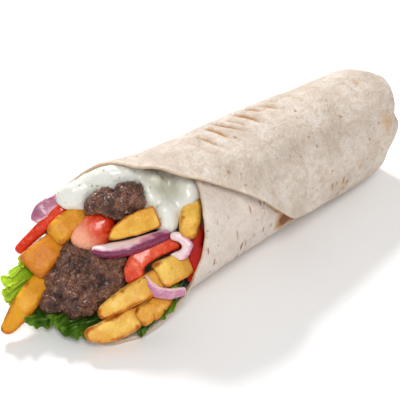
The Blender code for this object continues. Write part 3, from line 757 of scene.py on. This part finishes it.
# These three lie pressed against what is next to them, and swell further to close the gap
PRESSED_CHIPS, PRESSED_SWELL = ("chip_far_thick", "chip_far_high", "chip_under_sauce"), 0.45
chip_look, start = new_material("chip")
brown = stored(start, "brown")
tone = stored(start, "tone")
cloud = start.noise(5, 4)
fine = start.noise(0.8, 5, 0.65)
creamy = stored(start, "creamy")
gold = creamy.mixed(tint(236, 176, 10), tint(250, 214, 108))
gold = tone.mixed(gold, tint(212, 116, 0))
gold = (cloud.eased(0.35, 0.7) * 0.5).mixed(gold, tint(206, 136, 14))
gold = (cloud.eased(0.42, 0.25) * (0.1 + 0.4 * creamy)).mixed(gold, tint(255, 226, 140))
gold = (fine.eased(0.45, 0.72) * (0.15 + 0.25 * creamy)).mixed(gold, tint(246, 198, 70))
crisp = (brown * (0.45 + cloud + 0.3 * fine)).at_most(1)
gold = crisp.eased(0.15, 0.75).mixed(gold, tint(190, 106, 12))
gold = (crisp.eased(0.7, 1.0) * 0.7).mixed(gold, tint(122, 60, 10))
gold = (dots(start, 2.6, 0.2) * 0.5).mixed(gold, tint(150, 84, 16))
coat(
    start, gold, 0.4 + 0.25 * fine, fine * 0.7 + start.noise(0.35, 3) * 0.3, 0.4,
    Subsurface_Weight=0.1, Subsurface_Radius=(1.0, 0.6, 0.2), Subsurface_Scale=1.0 * MM,
    Specular_IOR_Level=0.3, Coat_Weight=0.12, Coat_Roughness=0.25)
for number, (node, (base_tone, browning, creaminess)) in enumerate(CHIP_TONES.items()):
    swell = PRESSED_SWELL if node in PRESSED_CHIPS else CHIP_SWELL
    chip = Refined(node.replace("chip", "fry"), node, fineness=0.38, rounds=2, swell=swell)
    blisters = 0.2 * lumps(chip.points, 3.0, 20 + number)
    blisters += 0.12 * lumps(chip.points, 1.2, 40 + number)
    flat_face, sharp_edge = np.percentile(chip.proud, (55, 97))
    edge = eased(flat_face, sharp_edge, chip.proud + 0.12 * lumps(chip.points, 2.5, 60 + number))
    chip.move(blisters - 0.1 * edge)
    patchy = 0.3 * lumps(chip.points, 6, 80 + number)
    give(chip.piece, "brown", np.clip(browning * edge + patchy, 0, 1))
    # Faces turned right and down are given a deeper tone, as painted shade
    painted_shade_side = eased(-0.1, 0.7, chip.normals @ (0.6 * MOUTH_RIGHT - 0.8 * MOUTH_UP))
    tone = base_tone - 0.1 + 0.4 * lumps(chip.points, 7, 70 + number) + 0.4 * painted_shade_side
    give(chip.piece, "tone", np.clip(tone, 0, 1))
    give(chip.piece, "creamy", np.full(len(chip.points), creaminess))
    chip.settle(chip_look, "chip")


# The tomato: ripe wedges and strips, wet and glossy. The cut flesh is paler, with streaks that run
# out from the core, and the skin is a deeper, smoother red.

# The way that the pale cut flesh faces, as right, up and out of the mouth, and how pale it is
TOMATO_CUTS = {
    "tomato_far": ((0.0, 0.5, 0.8), 0.12), "tomato_middle": ((-0.75, -0.45, 0.5), 1.0),
    "tomato_right": ((-0.3, 0.2, 0.9), 0.42), "tomato_near_wall": ((0.0, 0.0, 1.0), 0.1),
}
tomato_look, start = new_material("tomato")
cut = stored(start, "cut")
cloud = start.noise(4, 3)
streaks = start.noise(1.6, 2, 0.4, 0.6)
red = (cloud * 0.6).mixed(tint(200, 26, 4), tint(230, 66, 12))
flesh = cloud.eased(0.3, 0.7).mixed(tint(214, 60, 28), tint(228, 92, 54))
red = cut.eased(0.02, 0.5).mixed(red, flesh)
red = (cut.eased(0.35, 1.0) * (0.8 + 0.2 * streaks.eased(0.3, 0.6))).mixed(red, tint(246, 178, 146))
pulp = dots(start, 1.5, 0.34) * cut.eased(0.1, 0.6)
red = (streaks.eased(0.52, 0.66) * (0.12 + 0.4 * cut)).mixed(red, tint(252, 160, 112))
red = (pulp * 0.3).mixed(red, tint(255, 206, 150))
wet_unshaded = stored(start, "wet_unshaded")
# Where this is 0 the red is painted darker, as painted shade, and the wet gloss is left off
red = wet_unshaded.mixed(tint(176, 18, 0), red)
height = streaks * (0.4 + 2.4 * cut) + 0.3 * cloud - 0.6 * pulp
coat(
    start, red, 0.62 - 0.4 * wet_unshaded + 0.1 * cut, height, 0.1, Subsurface_Weight=0.1,
    Subsurface_Radius=(1.0, 0.25, 0.1), Subsurface_Scale=1.0 * MM, Specular_IOR_Level=0.3,
    Coat_Weight=0.3 * wet_unshaded, Coat_Roughness=0.12)


def facing(piece, way):
    """How squarely each point faces a way, given as right, up and out of the mouth, from -1 to 1."""
    way = way[0] * MOUTH_RIGHT + way[1] * MOUTH_UP + way[2] * MOUTH_OUT
    return piece.normals @ (way / np.linalg.norm(way))


for number, (node, (way, paleness)) in enumerate(TOMATO_CUTS.items()):
    piece = Refined(
        node.replace("tomato", "tomato_piece"), node, fineness=0.35, rounds=14, swell=0.3)
    uneven = 0.12 * lumps(piece.points, 4.0, 90 + number)
    piece.move(uneven + 0.04 * lumps(piece.points, 1.2, 95 + number))
    towards = facing(piece, way) + 0.15 * lumps(piece.points, 3, 99)
    # the wedge in the middle shows its pale flesh low on the left and its skin high on the right
    if node == "tomato_middle":
        up_right = piece.points @ (MOUTH_RIGHT + 0.7 * MOUTH_UP)
        low, high = np.percentile(up_right, (20, 95))
        paleness = np.clip((high - up_right) / (high - low), 0, 1) ** 1.3
        towards = towards + 0.6
    give(piece.piece, "cut", paleness * eased(-0.1, 0.85, towards))
    # The tomato by the near wall gets painted shade and no wet gloss
    give(piece.piece, "wet_unshaded", np.full(len(piece.points), 0.0 if node == "tomato_near_wall" else 1.0))
    piece.settle(tomato_look, "tomato")


# The onion: raw slivers of red onion, white and watery where they are cut, with the purple skin of
# each layer along one edge and fine lines that run lengthways.

# The way that the purple side of each sliver faces, as right, up and out of the mouth, and how purple
# it is
ONION_SKINS = {
    "onion_middle": ((0.1, -0.9, 0.45), 1.0), "onion_curl": ((0.9, -0.3, 0.2), 0.4),
    "onion_low": ((0.1, -0.8, 0.5), 0.6), "onion_far": ((-0.5, 0.6, 0.6), 0.7),
}
onion_look, start = new_material("onion")
skin = stored(start, "skin")
cloud = start.noise(3, 3)
lengthways, outwards, upwards = (
    start.node("ShaderNodeVectorMath", {"operation": "DOT_PRODUCT"}, {0: start, 1: tuple(way)}, out=1)
    for way in (MOUTH_RIGHT + 0.3 * MOUTH_UP, MOUTH_OUT, MOUTH_UP - 0.3 * MOUTH_RIGHT))
lines = start.node(
    "ShaderNodeCombineXYZ", None, {0: lengthways * 0.14, 1: outwards, 2: upwards}).noise(0.75, 3)
white = (cloud * 0.6).mixed(tint(244, 230, 222), tint(234, 202, 206))
white = (lines.eased(0.5, 0.64) * 0.4).mixed(white, tint(212, 158, 172))
white = skin.eased(0.05, 0.5).mixed(white, tint(204, 130, 164))
white = (cloud.eased(0.45, 0.65) * 0.4).mixed(white, tint(240, 214, 220))
white = (lines.eased(0.5, 0.38) * 0.3).mixed(white, tint(238, 206, 218))
white = skin.eased(0.45, 0.9).mixed(white, tint(122, 32, 74))
coat(
    start, white, 0.22 + 0.1 * lines, lines, 0.3, Subsurface_Weight=0.4,
    Subsurface_Radius=(1.0, 0.7, 0.7), Subsurface_Scale=2.0 * MM, Coat_Weight=0.3, Coat_Roughness=0.1)
for number, (node, (way, depth_of_skin)) in enumerate(ONION_SKINS.items()):
    # the thin tip of the low sliver needs the finer copy
    fineness = 0.2 if node == "onion_low" else 0.3
    piece = Refined(node.replace("onion", "onion_sliver"), node, fineness, rounds=34, swell=0.4)
    piece.move(0.12 * lumps(piece.points, 3.0, 100 + number))
    towards = facing(piece, way) + 0.2 * lumps(piece.points, 3, 109)
    # the middle sliver turns its skin up towards its right-hand end
    if node == "onion_middle":
        towards = towards + 0.1 + 0.5 * eased(8, 24, (piece.points - MOUTH_MIDDLE) @ MOUTH_RIGHT)
    give(piece.piece, "skin", depth_of_skin * eased(-0.35, 0.7, towards))
    piece.settle(onion_look, "onion")


# The meat: minced meat grilled hard, dark brown and craggy, with char on what stands out, fat that
# glistens in the hollows, and small crumbs that have broken off.

meat_look, start = new_material("grilled meat")
deep = stored(start, "deep")
cloud = start.noise(4, 4)
fine = start.noise(0.7, 6, 0.7)
grain = start.noise(0.5, 4, 0.7)
char = start.noise(6.5, 3, 0.6)
clods = start.noise(2.8, 2)
brown = cloud.eased(0.35, 0.65).mixed(tint(118, 54, 34), tint(184, 120, 86))
# Pale grain is painted on as highlights
brown = (grain.eased(0.5, 0.64) * 0.75).mixed(brown, tint(218, 168, 136))
brown = (fine.eased(0.46, 0.62) * 0.9).mixed(brown, tint(38, 14, 9))
# Pale specks are painted on as highlights
brown = (dots(start, 0.9, 0.3) * 0.6).mixed(brown, tint(222, 186, 160))
brown = (char.eased(0.5, 0.66) * 0.7).mixed(brown, tint(50, 20, 16))
# The deepest hollows are painted near black, as painted shade
brown = (deep.eased(0.2, 0.8) * 0.85).mixed(brown, tint(24, 9, 6))
height = fine * 0.9 + grain * 0.7 + clods * 1.6
coat(
    start, brown, 0.12 + 0.35 * fine, height, 1.5, Specular_IOR_Level=0.8, Coat_Weight=0.5,
    Coat_Roughness=0.15)

# Crags of each size, and how high they are, in mm; and how deep and how proud the meat may get
MEAT_CRAGS = ((12.0, 3.42), (5.5, 2.16), (2.6, 1.44), (1.2, 0.81), (0.7, 0.45))
CRAG_DEEPEST, CRAG_PROUDEST = -2.8, 1.4
meats = {}
for number, node in enumerate(("meat_large", "meat_small")):
    meat = Refined(node.replace("meat", "meat_piece"), node, fineness=0.4, rounds=2, swell=0.1)
    craggy = np.zeros(len(meat.points))
    for size, high in MEAT_CRAGS:
        craggy += high * np.abs(lumps(meat.points, size, 110 + number + size))
    craggy -= craggy.mean()
    meat.move(np.clip(craggy, CRAG_DEEPEST, CRAG_PROUDEST))
    # How deep each point lies in a hollow, which the colour darkens as painted shade
    give(meat.piece, "deep", eased(0.2, -2.2, craggy))
    meat.settle(meat_look, "meat")
    meats[node] = meat


# The tzatziki: thick strained yoghurt with cucumber and herbs. It is glossy and white, thicker in
# the folds it was spooned in, with drips that have run over the filling.

sauce_look, start = new_material("tzatziki")
cloud = start.noise(6, 4)
fine = start.noise(1.1, 4)
shreds = start.noise(1.6, 2, 0.5, 2.0)
white = (cloud * 0.5).mixed(tint(232, 232, 226), tint(216, 216, 202))
white = (shreds.eased(0.62, 0.7) * 0.3).mixed(white, tint(186, 194, 150))
# The spoon's hollow is painted grey-green, as painted shade
painted_hollow_shade = stored(start, "hollow")
white = (painted_hollow_shade * 0.7).mixed(white, tint(186, 186, 158))
coat(
    start, white, 0.16 + 0.1 * fine, fine * 0.35 + cloud, 0.4, Subsurface_Weight=0.35,
    Subsurface_Radius=(1.0, 0.9, 0.7), Subsurface_Scale=2.0 * MM, Coat_Weight=0.25, Coat_Roughness=0.15)

# The hollow that the spoon left, right of the small piece of meat: its middle, as right and up of the
# mouth's, how it slopes, its half length and half width, and how deep it is
HOLLOW_RIGHT, HOLLOW_UP, HOLLOW_SLOPE = 26, 29, 0.35
HOLLOW_LENGTH, HOLLOW_WIDTH, HOLLOW_DEPTH = 7.5, 4.5, 2.6
sauce = Refined("sauce", "tzatziki", fineness=0.6, rounds=24, swell=0.5)
from_mouth = sauce.points - MOUTH_MIDDLE
rightward = from_mouth @ MOUTH_RIGHT - HOLLOW_RIGHT
upward = from_mouth @ MOUTH_UP - HOLLOW_UP + HOLLOW_SLOPE * rightward
hollow = np.exp(-((rightward / HOLLOW_LENGTH) ** 2) - (upward / HOLLOW_WIDTH) ** 2)
swirl = 0.55 * lumps(sauce.points, 5.0, 120) + 0.25 * lumps(sauce.points, 2.2, 121)
swirl -= HOLLOW_DEPTH * hollow
against_bread = eased(0.2, 0.8, sauce.normals[:, 2]) * eased(-30, -45, sauce.points[:, 0])
sauce.move(swirl * eased(-20, -34, sauce.points[:, 0]) + against_bread)
# The hollow's painted shade follows the same values
give(sauce.piece, "hollow", hollow)
sauce.settle(sauce_look, "tzatziki")


# What is strewn over the filling: crumbs of meat on the meat and what lies round it, and flecks of
# grated cucumber in the tzatziki. They stick to what they fell on.

def strewing_tree(name, material):
    """Strews small copies of a shape over a surface, where its attribute "strewn" lets them lie."""
    tree, surface, (density, smallest, largest) = new_tree(
        name, ("Density", "Smallest", "Largest"))
    often = surface.node(
        "GeometryNodeInputNamedAttribute", {"data_type": "FLOAT"}, {"Name": "strewn"}) * density
    spots = surface.node(
        "GeometryNodeDistributePointsOnFaces", {"distribute_method": "RANDOM"},
        {"Mesh": surface, "Density": often, "Seed": 5})
    ball = surface.node("GeometryNodeMeshIcoSphere", None, {"Radius": 1.0, "Subdivisions": 2})
    place = surface.node("GeometryNodeInputPosition")
    rough = place.node(
        "ShaderNodeTexNoise", None, {"Vector": place, "Scale": 1.3, "Detail": 1.0}, out=1)
    push = rough.node(
        "ShaderNodeVectorMath", {"operation": "SUBTRACT"}, {0: rough, 1: (0.5, 0.5, 0.5)})
    grain = ball.node("GeometryNodeSetPosition", None, {0: ball, "Offset": push})
    turn = surface.node(
        "FunctionNodeRandomValue", {"data_type": "FLOAT_VECTOR"}, {1: (6.28, 6.28, 6.28), "Seed": 2})
    size = surface.node(
        "FunctionNodeRandomValue", {"data_type": "FLOAT"}, {2: smallest, 3: largest, "Seed": 3}, out=1)
    stretch = surface.node(
        "FunctionNodeRandomValue", {"data_type": "FLOAT_VECTOR"},
        {0: (0.5, 0.5, 0.5), 1: (1.0, 1.0, 1.0), "Seed": 4})
    scale = stretch.node(
        "ShaderNodeVectorMath", {"operation": "SCALE"}, {0: stretch, "Scale": size * MM})
    strewn = spots.node(
        "GeometryNodeInstanceOnPoints", None,
        {"Points": spots, "Instance": grain, "Rotation": turn, "Scale": scale})
    end_tree(strewn, material)
    return tree


def strewn_over(name, under, allowed, material, sizes, node):
    """Strews a new piece over a finished one, where allowed is above 0 at its points."""
    mesh = under.piece.data.copy()
    piece = bpy.data.objects.new(name, mesh)
    bpy.context.scene.collection.objects.link(piece)
    give(piece, "strewn", allowed)
    run_tree(piece, strewing_tree(name, material), sizes)
    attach(piece, "root")
    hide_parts(node)


for node, meat in meats.items():
    faces_out = eased(0.0, 0.5, meat.normals @ (MOUTH_OUT + 0.4 * MOUTH_UP))
    strewn_over(
        node.replace("meat", "crumbs_on"), meat, faces_out, meat_look,
        {"Density": 550000.0, "Smallest": 0.25, "Largest": 0.75}, node)

cucumber_look, start = new_material("cucumber")
green = start.noise(2, 2).mixed(tint(150, 172, 104), tint(206, 212, 176))
coat(start, green, 0.3, start.noise(0.3, 2), 0.05)
in_the_mouth = eased(-44, -50, sauce.points[:, 0]) * eased(0.1, 0.5, sauce.normals @ MOUTH_OUT)
strewn_over(
    "cucumber", sauce, in_the_mouth, cucumber_look,
    {"Density": 30000.0, "Smallest": 0.3, "Largest": 0.7}, "tzatziki")


# The setting, which is no part of the wrap: a pale floor that fades into a white room, and two soft
# lamps, the larger one up on the left behind the wrap and a weak one in front.

LAMPS_AIM = Vector((-0.02, 0.0, 0.03))


def lamp(name, spot, size, power):
    """A round, soft lamp at a spot, in metres, aimed at the wrap; its size in metres, power in watts."""
    light = bpy.data.lights.new(name, "AREA")
    light.shape = "DISK"
    light.size = size
    light.energy = power
    holder = bpy.data.objects.new(name, light)
    bpy.context.scene.collection.objects.link(holder)
    holder.location = spot
    holder.rotation_euler = (LAMPS_AIM - Vector(spot)).to_track_quat("-Z", "Y").to_euler()


floor_look, start = new_material("floor")
coat(start, tint(250, 249, 248), 0.9, start.noise(50, 2), 0.02)
FLOOR_REACH, FLOOR_Z = 1.6, -0.0003
floor_corners = ((-1, -1), (1, -1), (1, 1), (-1, 1))
floor = new_piece(
    "floor", [(FLOOR_REACH * x, FLOOR_REACH * y, FLOOR_Z) for x, y in floor_corners], [(0, 1, 2, 3)])
floor.data.materials.append(floor_look)
lamp("main lamp", (0.23, 0.70, 0.80), 0.2, 9.4)
lamp("front lamp", (-0.43, -0.56, 0.82), 0.42, 5.9)
room = bpy.data.worlds.new("room")
room.use_nodes = True
walls = room.node_tree.nodes["Background"].inputs
walls["Color"].default_value = (1, 1, 1, 1)
walls["Strength"].default_value = 0.42
bpy.context.scene.world = room
bpy.context.scene.view_settings.view_transform = "Standard"

# The camera looks straight into the mouth, from as far as the photo's perspective asks
PHOTO_AIM, PHOTO_DISTANCE, PHOTO_LENS = Vector((-0.018, 0.0, 0.0299)), 0.405, 81
lens = bpy.data.cameras.new("camera")
lens.lens = PHOTO_LENS
lens.sensor_width = 36
camera = bpy.data.objects.new("camera", lens)
bpy.context.scene.collection.objects.link(camera)
looking = Vector(-MOUTH_OUT).normalized()
camera.location = PHOTO_AIM - looking * PHOTO_DISTANCE
camera.rotation_euler = looking.to_track_quat("-Z", "Y").to_euler()
bpy.context.scene.camera = camera
